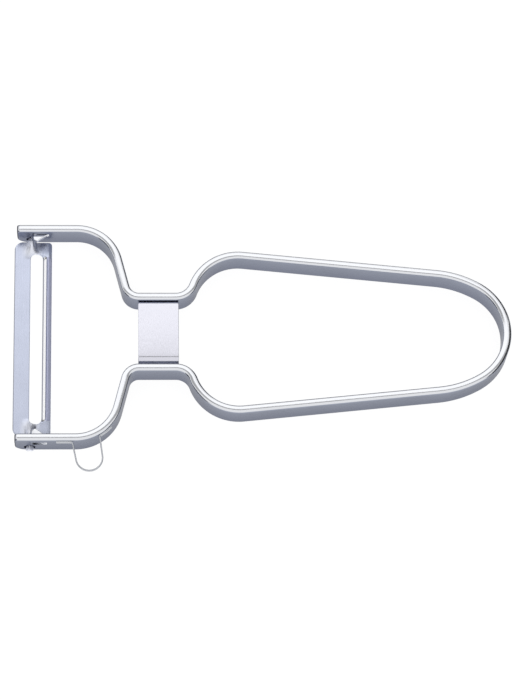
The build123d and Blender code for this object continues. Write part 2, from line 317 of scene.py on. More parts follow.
class StudioSizes(bpy.types.PropertyGroup):
    """Camera, floor, lamp and dark cards round the peeler."""

    aim_x: length("Aim along", "Where the camera aims along the handle", 0.08)
    aim_y: length("Aim across", "Where the camera aims across the handle", 0.59)
    aim_z: length("Aim height", "Height that the camera aims at", 1.54)
    distance: length("Distance", "From the camera to where it aims", 834.8)
    tilt: turn("Tilt", "How far the camera leans back from straight down", 19.04)
    pan: turn("Pan", "How far the camera leans along the handle", -2.19)
    roll: turn("Roll", "How far the picture is turned", -0.03)
    lens: FloatProperty(
        name="Lens", description="Focal length in millimetres", default=164.84, subtype="DISTANCE_CAMERA"
    )
    floor_half: length("Floor half", "From the middle of the floor to its sides", 3000)
    floor_drop: length("Floor drop", "How far the floor lies below the peeler", 0.02)
    floor_colour: tint("Floor colour", "Colour of the floor", 0.86, 0.86, 0.87)
    floor_share: share("Floor glow share", "Share of the floor's look that is light of its own", 0.82)
    floor_glow: number("Floor glow", "Strength of that light", 1.12)
    ambient: share("Ambient", "Light from all round", 0.85)
    lamp_distance: length("Lamp distance", "From the peeler to the lamp", 1500)
    lamp_tilt: turn("Lamp tilt", "How far the lamp leans back from overhead", 31)
    lamp_width: turn("Lamp width", "Angle that the lamp fills across the handle", 30)
    lamp_length: length("Lamp length", "Length of the lamp along the handle", 1500)
    lamp_shift: length("Lamp shift", "How far the lamp sits towards the handle's end", -400)
    lamp_glow: number("Lamp glow", "What the lamp adds to the white round it", 0.3)
    card_distance: length("Card distance", "From the peeler to the dark cards", 1300)
    card_shade: share("Card shade", "Brightness of the dark cards", 0.05)
    gap_shade: share("Gap shade", "Brightness of the grey card in front of the lamp", 0.45)


def directions(angles):
    """Unit steps in a plane at angles from its first axis: the cosine along it, and the sine across."""
    return np.stack([np.cos(angles), np.sin(angles)], axis=-1)


def bend_path(start, bends):
    """Points, headings and lengths along a line of straight runs and arcs in the XY plane.

    Every step turns by its share of an arc, and moves along the heading in the middle of the step by its
    chord, which is the step's length times the sine of half its turn over that half turn.
    """
    steps, turns = [], []
    for run, radius, bend in bends:
        run_parts = math.ceil(run / RUN_STEP)
        arc_parts = math.ceil(abs(bend) / ARC_STEP)
        steps += [np.full(run_parts, run / max(run_parts, 1)), np.full(arc_parts, radius * abs(bend) / arc_parts)]
        turns += [np.zeros(run_parts), np.full(arc_parts, bend / arc_parts)]
    steps, turns = np.concatenate(steps), np.concatenate(turns)
    middles = np.cumsum(turns) - turns / 2
    chords = steps * np.sinc(turns / (2 * np.pi))
    moves = chords[:, None] * directions(middles)
    points = np.array(start) + np.vstack([np.zeros((1, 2)), np.cumsum(moves, axis=0)])
    return points, np.append(0, np.cumsum(turns)), np.append(0, np.cumsum(steps))


def mirrored(quarter):
    """Closed ring out of its upper right quarter, anticlockwise from the lower right corner.

    So the first and the last point of the ring mirror each other.
    """
    right = np.vstack([quarter[::-1] * (1, -1), quarter])
    return np.vstack([right, right[::-1] * (-1, 1)])


def ring_of_rectangle(width, height, radius, parts):
    """Rounded rectangle about nought as a closed ring: a quarter circle about each corner of an inset one."""
    quarter = directions(np.linspace(0, np.pi / 2, parts + 1))
    return mirrored((width / 2 - radius, height / 2 - radius) + radius * quarter)


def ring_of_strip(width, height, radius, crown, parts):
    """Section of rolled strip as a closed ring: flat sides, rounded edges, and a slight crown above and below.

    The edge's circle touches the side and, from inside, the crown's circle, so the line between their centres
    leans by the angle whose sine is the edge centre's offset over the difference of the two radii.
    """
    offset = width / 2 - radius
    lean = math.asin(offset / (crown - radius))
    crown_centre = height / 2 - crown
    edge_centre = crown_centre + (crown - radius) * math.cos(lean)
    edge = directions(np.linspace(0, np.pi / 2 - lean, parts + 1))
    top = directions(np.linspace(np.pi / 2 - lean, np.pi / 2, parts // 2 + 1)[1:-1])
    return mirrored(np.vstack([(offset, edge_centre) + radius * edge, (0, crown_centre) + crown * top]))


def carried(points, headings, across, height):
    """Grid of rings carried along a path: each point moves left of the path by its across and up by its height."""
    x = points[:, :1] - np.sin(headings)[:, None] * across
    y = points[:, 1:] + np.cos(headings)[:, None] * across
    return np.stack([x, y, np.broadcast_to(height, x.shape)], axis=2)


def ring_lengths(ring):
    """Length round a closed ring up to each of its points, and back to the first."""
    return np.append(0, np.cumsum(np.linalg.norm(np.roll(ring, -1, axis=0) - ring, axis=1)))


def grid_faces(rows, columns, close_rows):
    """Quads of a grid whose columns close on themselves, and whose rows do too if asked."""
    row = np.arange(rows if close_rows else rows - 1)[:, None]
    column = np.arange(columns)[None, :]
    after_row, after_column = (row + 1) % rows, (column + 1) % columns
    corners = [row * columns + column, row * columns + after_column]
    corners += [after_row * columns + after_column, after_row * columns + column]
    return np.stack(corners, axis=2).reshape(-1, 4)


def cap_faces(rows, columns):
    """Quads that close both ends of a tube whose ring's points mirror each other from its two ends inwards."""
    left = np.arange(columns // 2 - 1)
    cap = np.stack([left, left + 1, columns - 2 - left, columns - 1 - left], axis=1)
    return np.vstack([cap, (cap + (rows - 1) * columns)[:, ::-1]])


def mesh_of_grid(name, grid, along, around, close_rows=False):
    """Closed mesh of a grid of points, mapped by the length along it and the length round it, faces outwards."""
    rows, columns = grid.shape[:2]
    faces = grid_faces(rows, columns, close_rows)
    walls = len(faces)
    if not close_rows:
        faces = np.vstack([faces, cap_faces(rows, columns)])
    mesh = bpy.data.meshes.new(name)
    mesh.from_pydata(grid.reshape(-1, 3).tolist(), [], faces.tolist())
    row, column = faces // columns, faces % columns
    last_row = (row == 0) & (row.max(axis=1, keepdims=True) == rows - 1) & close_rows
    last_column = (column == 0) & (column.max(axis=1, keepdims=True) == columns - 1)
    last_column[walls:] = False
    u = np.where(last_row, along[-1], along[row])
    v = np.where(last_column, around[-1], around[column])
    layer = mesh.uv_layers.new(name="along_and_round")
    layer.uv.foreach_set("vector", np.stack([u, v], axis=2).ravel())
    outward(mesh)
    return mesh


def outward(mesh):
    """Turns the faces of a closed shell outwards."""
    work = bmesh.new()
    work.from_mesh(mesh)
    bmesh.ops.recalc_face_normals(work, faces=work.faces)
    work.to_mesh(mesh)
    work.free()


def fresh_object(name, mesh):
    """Object for a mesh, in place of an earlier one of the same name."""
    old = bpy.data.objects.get(name)
    if old:
        bpy.data.objects.remove(old)
    piece = bpy.data.objects.new(name, mesh)
    bpy.context.scene.collection.objects.link(piece)
    return piece


def joined(name, meshes):
    """One mesh out of several shells, with their maps."""
    work = bmesh.new()
    for mesh in meshes:
        work.from_mesh(mesh)
    whole = bpy.data.meshes.new(name)
    work.to_mesh(whole)
    work.free()
    return whole


def keep_modifiers(piece):
    """Puts what a piece's modifiers make of its mesh into the mesh."""
    depsgraph = bpy.context.evaluated_depsgraph_get()
    made = piece.evaluated_get(depsgraph)
    mesh = bpy.data.meshes.new_from_object(made, preserve_all_data_layers=True, depsgraph=depsgraph)
    piece.modifiers.clear()
    piece.data = mesh


def combine(piece, mesh, operation):
    """Cuts a closed mesh out of a piece, or adds it."""
    tool = fresh_object("combining_tool", mesh)
    step = piece.modifiers.new("combine", "BOOLEAN")
    step.operation = operation
    step.solver = "EXACT"
    step.object = tool
    keep_modifiers(piece)
    bpy.data.objects.remove(tool)


def smooth(piece):
    """Smooth shading with sharp edges kept and the flats held flat by their area."""
    mesh = piece.data
    mesh.polygons.foreach_set("use_smooth", np.ones(len(mesh.polygons), bool))
    mesh.set_sharp_from_angle(angle=SHARP_TURN)
    step = piece.modifiers.new("flat_flats", "WEIGHTED_NORMAL")
    step.keep_sharp = True
    keep_modifiers(piece)


def finish_piece(piece, material, body, node):
    """Smooths a piece and gives it its finish and the body that it moves with, and hides the node that it stands
    for.
    """
    smooth(piece)
    piece.data.materials.clear()
    piece.data.materials.append(material)
    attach(piece, body)
    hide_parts(node)


def arm_middle(strip):
    """From the middle of the head to the middle of an arm's thickness."""
    return (strip.head_gap + strip.thickness) / 2


def frame_bends(strip):
    """Runs, radii and turns of half the frame, from the tip of an arm to the middle of the handle's end."""
    leg_middle = (strip.waist_gap + strip.thickness) / 2
    crest_middle = (strip.crest_gap + strip.thickness) / 2
    fall = (strip.shoulder_radius + strip.waist_entry_radius) * (1 - math.cos(strip.shoulder_turn))
    run = (arm_middle(strip) - leg_middle - fall) / math.sin(strip.shoulder_turn)
    neck_turn = math.acos(1 - (crest_middle - leg_middle) / (strip.neck_radius + strip.crest_radius))
    bends = [
        (strip.arm_length, strip.shoulder_radius, -strip.shoulder_turn),
        (run, strip.waist_entry_radius, strip.shoulder_turn),
        (strip.waist_length, strip.neck_radius, neck_turn),
        (0, strip.crest_radius, -neck_turn - strip.side_taper),
        (strip.side_length, strip.tail_radius, -strip.tail_turn),
    ]
    points, headings, _ = bend_path((0, arm_middle(strip)), bends)
    closing_radius = points[-1, 1] / math.cos(headings[-1])
    return bends + [(0, closing_radius, -math.pi / 2 - headings[-1])]


def waist_start(strip):
    """Distance from the arm tips to the start of the straight legs."""
    points, _, _ = bend_path((0, 0), frame_bends(strip)[:2])
    return points[-1, 0]


def round_drop(distance, radius):
    """How far a round corner lies inside its square one, d from the end: r less the root of r²-(r-d)²."""
    inside = np.clip(radius - distance, 0, radius)
    return radius - np.sqrt(radius**2 - inside**2)


def round_places(radius, points):
    """Places from an end over its round corner, crowded towards the end: r less r times a cosine."""
    return radius * (1 - np.cos(np.linspace(0, np.pi / 2, points)))


def strip_mesh(strip):
    """Rounded rectangle carried along half the frame's path and back along its mirror image.

    At the tips the ring's lower half rises by the far corner's round and its upper half sinks by the near one's,
    and the ring gets thinner by the broken edge.
    """
    points, headings, lengths = bend_path((0, arm_middle(strip)), frame_bends(strip))
    far, near = strip.tip_far_round, strip.tip_near_round
    rounds = zip((far, near, strip.tip_break), TIP_POINTS)
    tip_places = np.concatenate([round_places(radius, count) for radius, count in rounds])
    stations = np.unique(np.round(np.append(lengths, tip_places), PLACE_DECIMALS))
    points = np.stack([np.interp(stations, lengths, points[:, axis]) for axis in (0, 1)], axis=1)
    headings = np.interp(stations, lengths, headings)
    points = np.vstack([points, points[-2::-1] * (1, -1)])
    headings = np.append(headings, np.pi - headings[-2::-1])
    along = np.append(stations, 2 * stations[-1] - stations[-2::-1])
    tip_distance = np.minimum(along, along[-1] - along)[:, None]
    ring = ring_of_strip(strip.thickness, STRIP_WIDTH, strip.edge_round, strip.edge_crown, STRIP_EDGE_PARTS)
    thinner = 1 - 2 * round_drop(tip_distance, strip.tip_break) / strip.thickness
    rise = np.where(ring[:, 1] < 0, round_drop(tip_distance, far), -round_drop(tip_distance, near))
    grid = carried(points, headings, ring[:, 0] * thinner, ring[:, 1] + STRIP_WIDTH / 2 + rise)
    return mesh_of_grid("handle_frame_strip", grid + DRAWING_ZERO, along, ring_lengths(ring))


def bar_across(name, ring, strip):
    """Bar through both arms: a ring of places along X and Z carried across."""
    grid = np.zeros((2, len(ring), 3))
    grid[:, :, 0] = ring[:, 0]
    grid[:, :, 1] = PIVOT.y + np.array([[-strip.head_gap], [strip.head_gap]])
    grid[:, :, 2] = ring[:, 1]
    return mesh_of_grid(name, grid, np.zeros(2), np.zeros(len(ring) + 1))


def hole_cutter(strip):
    """Round bar through both arms at the pivot line."""
    circle = directions(np.pi / 2 - np.linspace(0, 2 * np.pi, HOLE_POINTS, endpoint=False))
    return bar_across("hole_cutter", (PIVOT.x, PIVOT.z) + strip.hole_radius * circle, strip)


def tab_window(strip):
    """Where the tab's window starts and ends along the arm, and its lowest and highest edge."""
    start = PIVOT.x + strip.tab_start_gap
    low = PIVOT.z + strip.hole_radius + strip.tab_web
    return start, start + strip.tab_length, low, low + strip.tab_height


def window_cutter(strip):
    """Block through both arms at the stop tabs' windows."""
    start, end, low, high = tab_window(strip)
    ring = ring_of_rectangle(end - start, high - low, strip.window_corner, WINDOW_PARTS)
    return bar_across("window_cutter", ring + ((start + end) / 2, (low + high) / 2), strip)


def tab_mesh(strip, side):
    """Stop tab of one arm: a rounded rectangle carried from inside the arm along an arc that curls inwards."""
    _, end, low, high = tab_window(strip)
    height = high - low - 2 * strip.tab_slit
    lead = strip.thickness / 2
    points, headings, lengths = bend_path((0, 0), [(lead, strip.tab_length / strip.tab_curl, strip.tab_curl)])
    points[:, 1] += np.clip(lengths - lead, 0, None) * math.sin(strip.tab_root_turn)
    headings = headings + np.where(lengths > lead, strip.tab_root_turn, 0)
    to_tip = (lengths[-1] - lengths)[:, None]
    ring = ring_of_rectangle(strip.thickness - TAB_RELIEF, height, strip.tab_slit, EDGE_PARTS)
    shrink = 1 - round_drop(to_tip, strip.tab_slit) * 2 / strip.thickness
    grid = carried(points, headings, ring[:, 0] * shrink, ring[:, 1] + (low + high) / 2)
    grid[:, :, 0] = end + lead - grid[:, :, 0]
    grid[:, :, 1] = PIVOT.y + side * (arm_middle(strip) - grid[:, :, 1])
    return mesh_of_grid("stop_tab", grid, lengths, ring_lengths(ring))


def plate_mesh(plate, strip):
    """Channel's section carried along the waist, drawn in by its edge round at both ends.

    The section runs up one flange, over the top and down the other, then back along the inside. Its points lie
    off the centres of the two bends, and off a line between these for the top, which sinks by a parabola.
    """
    half_width = strip.waist_gap / 2
    low = plate.bend_radius + plate.sheet - half_width
    high = half_width - plate.sheet - plate.far_bend_radius
    quarter = np.linspace(0, np.pi / 2, BEND_POINTS)
    top = np.full(BOW_POINTS, np.pi / 2)
    angles = np.concatenate([[np.pi], np.pi - quarter, top, np.pi / 2 - quarter, [0]])
    facing = directions(angles)
    between = np.linspace(low, high, BOW_POINTS + 2)[1:-1]
    across = np.concatenate([np.full(BEND_POINTS + 1, low), between, np.full(BEND_POINTS + 1, high)])
    inside = np.where(across < 0, plate.bend_radius, plate.far_bend_radius)
    height = -inside - plate.sheet
    height[[0, -1]] = -plate.flange_height
    height -= plate.bow * ((2 * across - low - high) / (high - low)) ** 2
    inner = np.stack([across, height], axis=1) + inside[:, None] * facing
    ring = np.vstack([inner + plate.sheet * facing, inner[::-1]])
    facing = np.vstack([facing, -facing[::-1]])
    near_end = round_places(plate.edge_round, END_POINTS)
    between = np.linspace(plate.edge_round, plate.length - plate.edge_round, PLATE_POINTS + 2)
    places = np.concatenate([near_end, between, plate.length - near_end])
    places = np.unique(np.round(places, PLACE_DECIMALS))
    end_distance = np.minimum(places, plate.length - places)[:, None, None]
    section = ring - facing * round_drop(end_distance, plate.edge_round)
    start = TIP_X + waist_start(strip) + (strip.waist_length - plate.length) / 2 + plate.offset
    x = np.broadcast_to(start + places[:, None], section.shape[:2])
    grid = np.stack([x, PIVOT.y + section[:, :, 0], STRIP_WIDTH - plate.recess + section[:, :, 1]], axis=2)
    return mesh_of_grid("waist_plate_channel", grid, places, ring_lengths(ring))


def outline_of_block(low_x, high_x, half_length, low_round, high_round, sides):
    """Rounded rectangle in plan as a ring anticlockwise from its right side, with its outward directions.

    The long sides follow the given stations from -1 to 1, and the corners and ends are shared out evenly.
    """
    right, left = high_x - high_round, low_x + low_round
    high_y, low_y = half_length - high_round, half_length - low_round
    end = np.linspace(right, left, BLADE_END_POINTS)
    parts = [
        (high_x, sides * high_y, right, high_y, high_round),
        (end, half_length, left, low_y, low_round),
        (low_x, -sides * low_y, left, -low_y, low_round),
        (end[::-1], -half_length, right, -high_y, high_round),
    ]
    quarter = np.linspace(0, np.pi / 2, BLADE_CORNER_POINTS + 2)[1:-1]
    points, facing = [], []
    for turns, (x, y, centre_x, centre_y, radius) in enumerate(parts):
        straight = np.stack(np.broadcast_arrays(x, y), axis=1)
        spokes = directions(turns * np.pi / 2 + np.append(np.zeros(len(straight)), quarter))
        points += [straight, (centre_x, centre_y) + radius * spokes[len(straight):]]
        facing.append(spokes)
    return np.vstack(points), np.vstack(facing)


def inside_distance(x, y, low_x, high_x, half_length, radius):
    """Distance to the outline of a rounded rectangle, positive inside it."""
    qx = np.abs(x - (low_x + high_x) / 2) - (high_x - low_x) / 2 + radius
    qy = np.abs(y) - half_length + radius
    outside = np.hypot(np.maximum(qx, 0), np.maximum(qy, 0))
    return radius - outside - np.minimum(np.maximum(qx, qy), 0)


def soft_ramp(value, softness):
    """Ramp that is nought below nought and climbs at one in one above it, rounded by the softness."""
    return (value + np.sqrt(value**2 + softness**2)) / 2


def fold_height(blade, x, y):
    """Rise of the sheet by the tongue's fold, a soft ridge that is lower and wider the further it has faded.

    It grows by a smooth step from nought to one at the blade's end, and beside it the bar sinks towards its end.
    """
    growth = np.clip((np.abs(y) - blade.half_length) / blade.fold_run + 1, 0, 1)
    growth = growth**2 * (3 - 2 * growth)
    foot_x = blade.tongue_radius * math.sin(TONGUE_LEG_LEAN) * (1 + blade.fold_widening * (1 - growth))
    peak = (blade.tongue_radius + blade.drop - blade.sheet / 2) * growth
    distance = np.sqrt(x**2 + blade.fold_softness**2) - blade.fold_softness
    ridge = peak * (1 + np.cos(np.pi * np.clip(distance / foot_x, 0, 1))) / 2
    beside = np.clip(x / foot_x, 0, 1)
    return ridge - blade.end_sink * growth * beside**2 * (3 - 2 * beside)


def bar_limits(blade):
    """Where the bar starts and ends beyond the slot, from the pivot line."""
    start = blade.slot_width - blade.slot_lead
    return start, start + blade.bar_width


def blade_heights(blade, x, y):
    """Heights of the blade's upper side and of its underside over a place in plan.

    The sheet is its level, less the flank beyond its bend, plus the fold of the pivot tongue, which grows towards
    each end. Off its upper side comes the ground slope with its step, inside a rounded field along the slot.
    """
    bar_start, bar_end = bar_limits(blade)
    bend = soft_ramp(x - (bar_end - blade.flank_width), blade.flank_bend) * math.tan(blade.flank_turn)
    sheet = blade.sheet / 2 - blade.drop - bend + fold_height(blade, x, y)
    ground_reach = bar_start + blade.ground_width + blade.shoulder_width
    ground_half = blade.slot_half_length - blade.ground_margin
    depth_in = inside_distance(x, y, -blade.slot_lead, ground_reach, ground_half, blade.ground_corner)
    slope = (blade.sheet - blade.edge_land - blade.shoulder_depth) / blade.ground_width
    step = np.clip(depth_in / blade.shoulder_width, 0, 1) * blade.shoulder_depth
    ground = step + np.clip(depth_in - blade.shoulder_width, 0, blade.ground_width) * slope
    ground = np.where(x > bar_start - blade.slot_lead, ground, 0)
    return sheet - ground, sheet - blade.sheet


def blade_mesh(blade):
    """Sheet of the blade as a grid that closes on itself both ways.

    Round the grid go the outlines of the slot and of the sheet. Across it, the upper side leads from the slot's
    outline to the outer one, a quarter circle turns down to the wall, and the underside leads back.
    """
    bar_start, bar_end = bar_limits(blade)
    half_stations = 1 - (1 - np.linspace(0, 1, HALF_BLADE_POINTS)) ** STATION_POWER
    stations = np.concatenate([-half_stations[:0:-1], half_stations])
    outer, outer_facing = outline_of_block(
        -blade.reach, bar_end, blade.half_length, blade.flat_corner, blade.bar_corner, stations
    )
    slot, slot_facing = outline_of_block(
        -blade.slot_lead, bar_start, blade.slot_half_length, blade.slot_corner, blade.slot_corner, stations
    )
    wall_top, wall_bottom = blade_heights(blade, slot[:, 0], slot[:, 1])
    slot_edge = np.minimum(blade.edge_round, SLOT_EDGE_SHARE * (wall_top - wall_bottom))
    inner_line = slot + slot_facing * slot_edge[:, None]
    outer_line = outer - outer_facing * blade.edge_round
    arc = np.linspace(0, np.pi / 2, EDGE_PARTS)[1:]
    over, back = np.linspace(0, 1, BLADE_TOP_POINTS), np.linspace(1, 0, BLADE_UNDER_POINTS)
    # How far from the slot's line to the outer one, the angle round the edge, and 1 above or -1 below
    rows = [(over, 0, 1), (1, arc, 1), (1, arc[::-1], -1), (back, 0, -1), (0, arc, -1), (0, arc[::-1], 1)]
    rows = [np.broadcast_arrays(*row) for row in rows]
    away, angle, side = (np.hstack(column)[:, None] for column in zip(*rows))
    edge = np.where(away == 0, slot_edge, blade.edge_round)
    facing = np.where(away[..., None] == 0, -slot_facing, outer_facing)
    plan = inner_line + away[..., None] * (outer_line - inner_line) + (edge * np.sin(angle))[..., None] * facing
    x, y = plan[:, :, 0], plan[:, :, 1]
    top, under = blade_heights(blade, x, y)
    height = np.where(side > 0, top, under) - side * edge * (1 - np.cos(angle))
    grid = np.stack([x, y, height], axis=2) + np.array(PIVOT)
    along = np.linspace(0, blade.half_length, len(plan) + 1)
    around = np.append(slot[:, 1], slot[0, 1])
    return mesh_of_grid("swivel_blade_sheet", grid, along, around, close_rows=True)


def tongue_mesh(blade, side):
    """Pivot tongue: the fold's section with its small hollow below, carried out through the arm."""
    foot_x = blade.tongue_radius * math.sin(TONGUE_LEG_LEAN)
    foot_z = -blade.tongue_radius * math.cos(TONGUE_LEG_LEAN)
    steepness = (blade.tongue_radius - foot_z) / foot_x
    x = np.linspace(-foot_x, foot_x, TONGUE_POINTS)
    softened = np.sqrt(x**2 + blade.fold_softness**2) - blade.fold_softness
    ridge = blade.tongue_radius - TONGUE_INSET - steepness * softened
    hollow = np.maximum(ridge - 2 * blade.sheet, foot_z)
    ridge = np.maximum(ridge, foot_z + TONGUE_INSET)
    ring = np.vstack([np.stack([x, ridge], axis=1), np.stack([x, hollow], axis=1)[::-1]])
    start, reach = blade.half_length - blade.edge_round, blade.tongue_reach
    places = np.linspace(start, reach - blade.edge_round, TONGUE_RINGS)
    places = np.append(places, reach - round_places(blade.edge_round, END_POINTS)[-2::-1])
    middle = np.array([0, (blade.tongue_radius + foot_z) / 3])
    taper = 1 - blade.tongue_taper * (places - start) / (reach - start)
    shrink = taper - round_drop(reach - places, blade.edge_round) / blade.tongue_radius
    section = middle + (ring[None] - middle) * shrink[:, None, None]
    y = np.broadcast_to(PIVOT.y + side * places[:, None], section.shape[:2])
    grid = np.stack([PIVOT.x + section[:, :, 0], y, PIVOT.z + section[:, :, 1]], axis=2)
    return mesh_of_grid("pivot_tongue", grid, places, ring_lengths(ring))


def ribbon_bends(ribbon, strip):
    """Start, runs, radii and turns of the eye remover.

    Both straight sides of the loop are tangents: their heading is the bearing of the loop's centre plus or
    minus the angle whose sine is the loop's radius over its distance.
    """
    face = -strip.head_gap / 2 - strip.thickness - ribbon.thickness / 2
    foot_radius = strip.shoulder_radius + (strip.thickness + ribbon.thickness) / 2
    shoulder_y = strip.shoulder_radius - arm_middle(strip)
    first = np.array([strip.arm_length - ribbon.foot_lead, face])
    loop = np.array([strip.arm_length + ribbon.loop_past, face - ribbon.loop_out])
    landing = (strip.arm_length, shoulder_y) + foot_radius * directions(ribbon.landing_turn - math.pi / 2)
    last = landing - ribbon.bend_radius * directions(ribbon.landing_turn)

    def tangent(corner, side):
        to_loop = loop - corner
        distance = math.hypot(*to_loop)
        bearing = math.atan2(to_loop[1], to_loop[0])
        run = math.sqrt(distance**2 - ribbon.loop_radius**2)
        return bearing + side * math.asin(ribbon.loop_radius / distance), run

    heading_in, run_in = tangent(first, -1)
    heading_back, run_out = tangent(last, 1)
    heading_out = heading_back + math.pi
    first_turn, last_turn = heading_in, ribbon.landing_turn - (heading_out - 2 * math.pi)
    last_turn = (last_turn + math.pi) % (2 * math.pi) - math.pi
    first_cut = ribbon.bend_radius * math.tan(abs(first_turn) / 2)
    last_cut = ribbon.bend_radius * math.tan(abs(last_turn) / 2)
    loop_turn = (heading_out - heading_in) % (2 * math.pi)
    bends = [
        (ribbon.foot_length - first_cut, ribbon.bend_radius, first_turn),
        (run_in - first_cut, ribbon.loop_radius, loop_turn),
        (run_out - last_cut, ribbon.bend_radius, last_turn),
        (ribbon.bend_radius - last_cut, foot_radius, ribbon.foot_turn),
    ]
    return first - np.array([ribbon.foot_length, 0]), bends


def ribbon_mesh(ribbon, strip):
    """Small rounded rectangle carried along the eye remover's path, near the strip's upper edge."""
    start, bends = ribbon_bends(ribbon, strip)
    points, headings, lengths = bend_path(start, bends)
    ring = ring_of_rectangle(ribbon.thickness, ribbon.width, ribbon.edge_round, EDGE_PARTS)
    grid = carried(points, headings, ring[:, 0], ring[:, 1] + STRIP_WIDTH - ribbon.inset)
    return mesh_of_grid("eye_remover_ribbon", grid + DRAWING_ZERO, lengths, ring_lengths(ring))


class Shading:
    """Builds the nodes of a material or of the world, from left to right."""

    def __init__(self, owner, output="ShaderNodeOutputMaterial"):
        owner.use_nodes = True
        self.owner, self.tree = owner, owner.node_tree
        self.tree.nodes.clear()
        self.output = self.tree.nodes.new(output)

    def add(self, kind, inputs=(), **settings):
        """A node with its settings, and its inputs set to a value or joined to another node's output."""
        node = self.tree.nodes.new(kind)
        for key, value in settings.items():
            setattr(node, key, value)
        for key, value in dict(inputs).items():
            if isinstance(value, bpy.types.NodeSocket):
                self.tree.links.new(value, node.inputs[key])
            else:
                node.inputs[key].default_value = value
        return node

    def finish(self, shader):
        """Joins the last shader to the output."""
        self.tree.links.new(shader.outputs[0], self.output.inputs["Surface"])
        return self.owner

    def math(self, operation, *values, clamp=False):
        """Result of one sum."""
        node = self.add("ShaderNodeMath", enumerate(values), operation=operation, use_clamp=clamp)
        return node.outputs[0]

    def between(self, value, low, high):
        """One between a low and a high value, and nought elsewhere."""
        return self.math("COMPARE", value, (low + high) / 2, (high - low) / 2)

    def ramp(self, value, start, full, low=0.0, high=1.0):
        """Low up to where it starts and high from where it is full, and straight between the two."""
        span = {"Value": value, "From Min": start, "From Max": full, "To Min": low, "To Max": high}
        return self.add("ShaderNodeMapRange", span).outputs[0]

    def mix(self, factor, first, second, kind="FLOAT"):
        """Two numbers mixed by a factor, or two of another kind."""
        pair = {"Factor": factor, "A": first, "B": second}
        return self.add("ShaderNodeMix", pair, data_type=kind).outputs["Result"]

    def colours(self, factor, *pair):
        """Two colours mixed by a factor."""
        pair = [one if isinstance(one, bpy.types.NodeSocket) else (*one, 1) for one in pair]
        return self.mix(factor, *pair, "RGBA")

    def place(self):
        """The three coordinates of a point of the piece."""
        coordinates = self.add("ShaderNodeTexCoord").outputs["Object"]
        return self.add("ShaderNodeSeparateXYZ", {"Vector": coordinates}).outputs

    def noise(self, source, stretch, detail):
        """Noise on stretched coordinates, which is lines where they are stretched far more along one axis."""
        coordinates = self.add("ShaderNodeTexCoord").outputs[source]
        stretched = self.add("ShaderNodeMapping", {"Vector": coordinates, "Scale": stretch}).outputs[0]
        noise = self.add("ShaderNodeTexNoise", {"Vector": stretched, "Scale": 1.0, "Detail": detail})
        return noise.outputs["Fac"]

    def lines(self, grain):
        """Fine lines of a steel's grain."""
        return self.noise(grain.source, grain.stretch, LINE_DETAIL)

    def clouded(self, grain, colour):
        """A colour and its slightly darker form, mixed by soft clouds."""
        clouds = self.noise("Object", (grain.clouds,) * 3, CLOUD_DETAIL)
        dark = [channel * (1 - grain.darkening) for channel in colour]
        return self.colours(self.ramp(clouds, NOISE_LOW, NOISE_HIGH), colour, dark)

    def swinging(self, lines, roughness, swing):
        """Roughness that the lines swing below and above its value."""
        return self.ramp(lines, NOISE_LOW, NOISE_HIGH, roughness - swing[0], roughness + swing[1])

    def shown_rays(self):
        """One for rays from the camera and for those that shine or pass through, nought for the rest."""
        path = self.add("ShaderNodeLightPath").outputs
        total = self.math("ADD", path["Is Camera Ray"], path["Is Glossy Ray"], clamp=True)
        return self.math("ADD", total, path["Is Transmission Ray"], clamp=True)


def material_shading(name):
    """Empty nodes of a new material, or of the one that has the name."""
    return Shading(bpy.data.materials.get(name) or bpy.data.materials.new(name))


def steel(shading, colour, roughness, lines, grain, grazing=WHITE):
    """Metal shader with the grain's lines raised by a very small height, as the material's last node."""
    bump = shading.add("ShaderNodeBump", {"Strength": 1.0, "Distance": grain.height, "Height": lines})
    inputs = {"Metallic": 1.0, "Base Color": colour, "Roughness": roughness, "Specular Tint": grazing}
    inputs["Normal"] = bump.outputs[0]
    return shading.finish(shading.add("ShaderNodeBsdfPrincipled", inputs))


def strip_finish(finish, strip):
    """Rolled satin on the wide faces with fine lines along the strip, and polish on its long edges.

    The wide faces carry painted shade, darker than the edges and darker still towards the table as a painted
    contact shadow; the stop tabs keep the edges' bright colour, and the arms' sheared ends are painted near black
    as shade.
    """
    shading = material_shading("strip_steel")
    along, _, height = shading.place()
    lines = shading.lines(STRIP_GRAIN)
    from_middle = shading.math("ABSOLUTE", shading.math("SUBTRACT", height, STRIP_WIDTH / 2))
    rim = shading.ramp(from_middle, STRIP_WIDTH / 2 - finish.rim_start, STRIP_WIDTH / 2 - finish.rim_full)
    # The stop tabs take the edges' bright colour instead of the faces' painted shade.
    start, end, low, high = tab_window(strip)
    tab = shading.math("MULTIPLY", shading.between(along, start, end), shading.between(height, low, high))
    rim = shading.math("MAXIMUM", rim, tab)
    # Painted shade: the wide faces are darker than the polished edges, for the reflection of the shaded floor
    # beside the strip.
    colour = shading.clouded(STRIP_GRAIN, finish.face_shade_colour)
    # Painted contact shadow: the faces fade to the darker colour towards the table.
    colour = shading.colours(shading.ramp(height, STRIP_WIDTH, 0.0), colour, finish.low_face_shadow_colour)
    colour = shading.colours(rim, colour, finish.rim_colour)
    # Painted shade: the arms' sheared end faces go near black.
    cut = shading.ramp(along, TIP_X + finish.cut_shade_start, TIP_X + finish.cut_shade_full)
    colour = shading.colours(cut, colour, finish.cut_shade_colour)
    face_roughness = shading.swinging(lines, finish.face_roughness, STRIP_GRAIN.swing)
    rim_roughness = shading.swinging(lines, finish.rim_roughness, RIM_SWING)
    roughness = shading.mix(rim, face_roughness, rim_roughness)
    grazing = shading.colours(rim, (finish.face_grazing,) * 3, WHITE[:3])
    return steel(shading, colour, roughness, lines, STRIP_GRAIN, grazing)


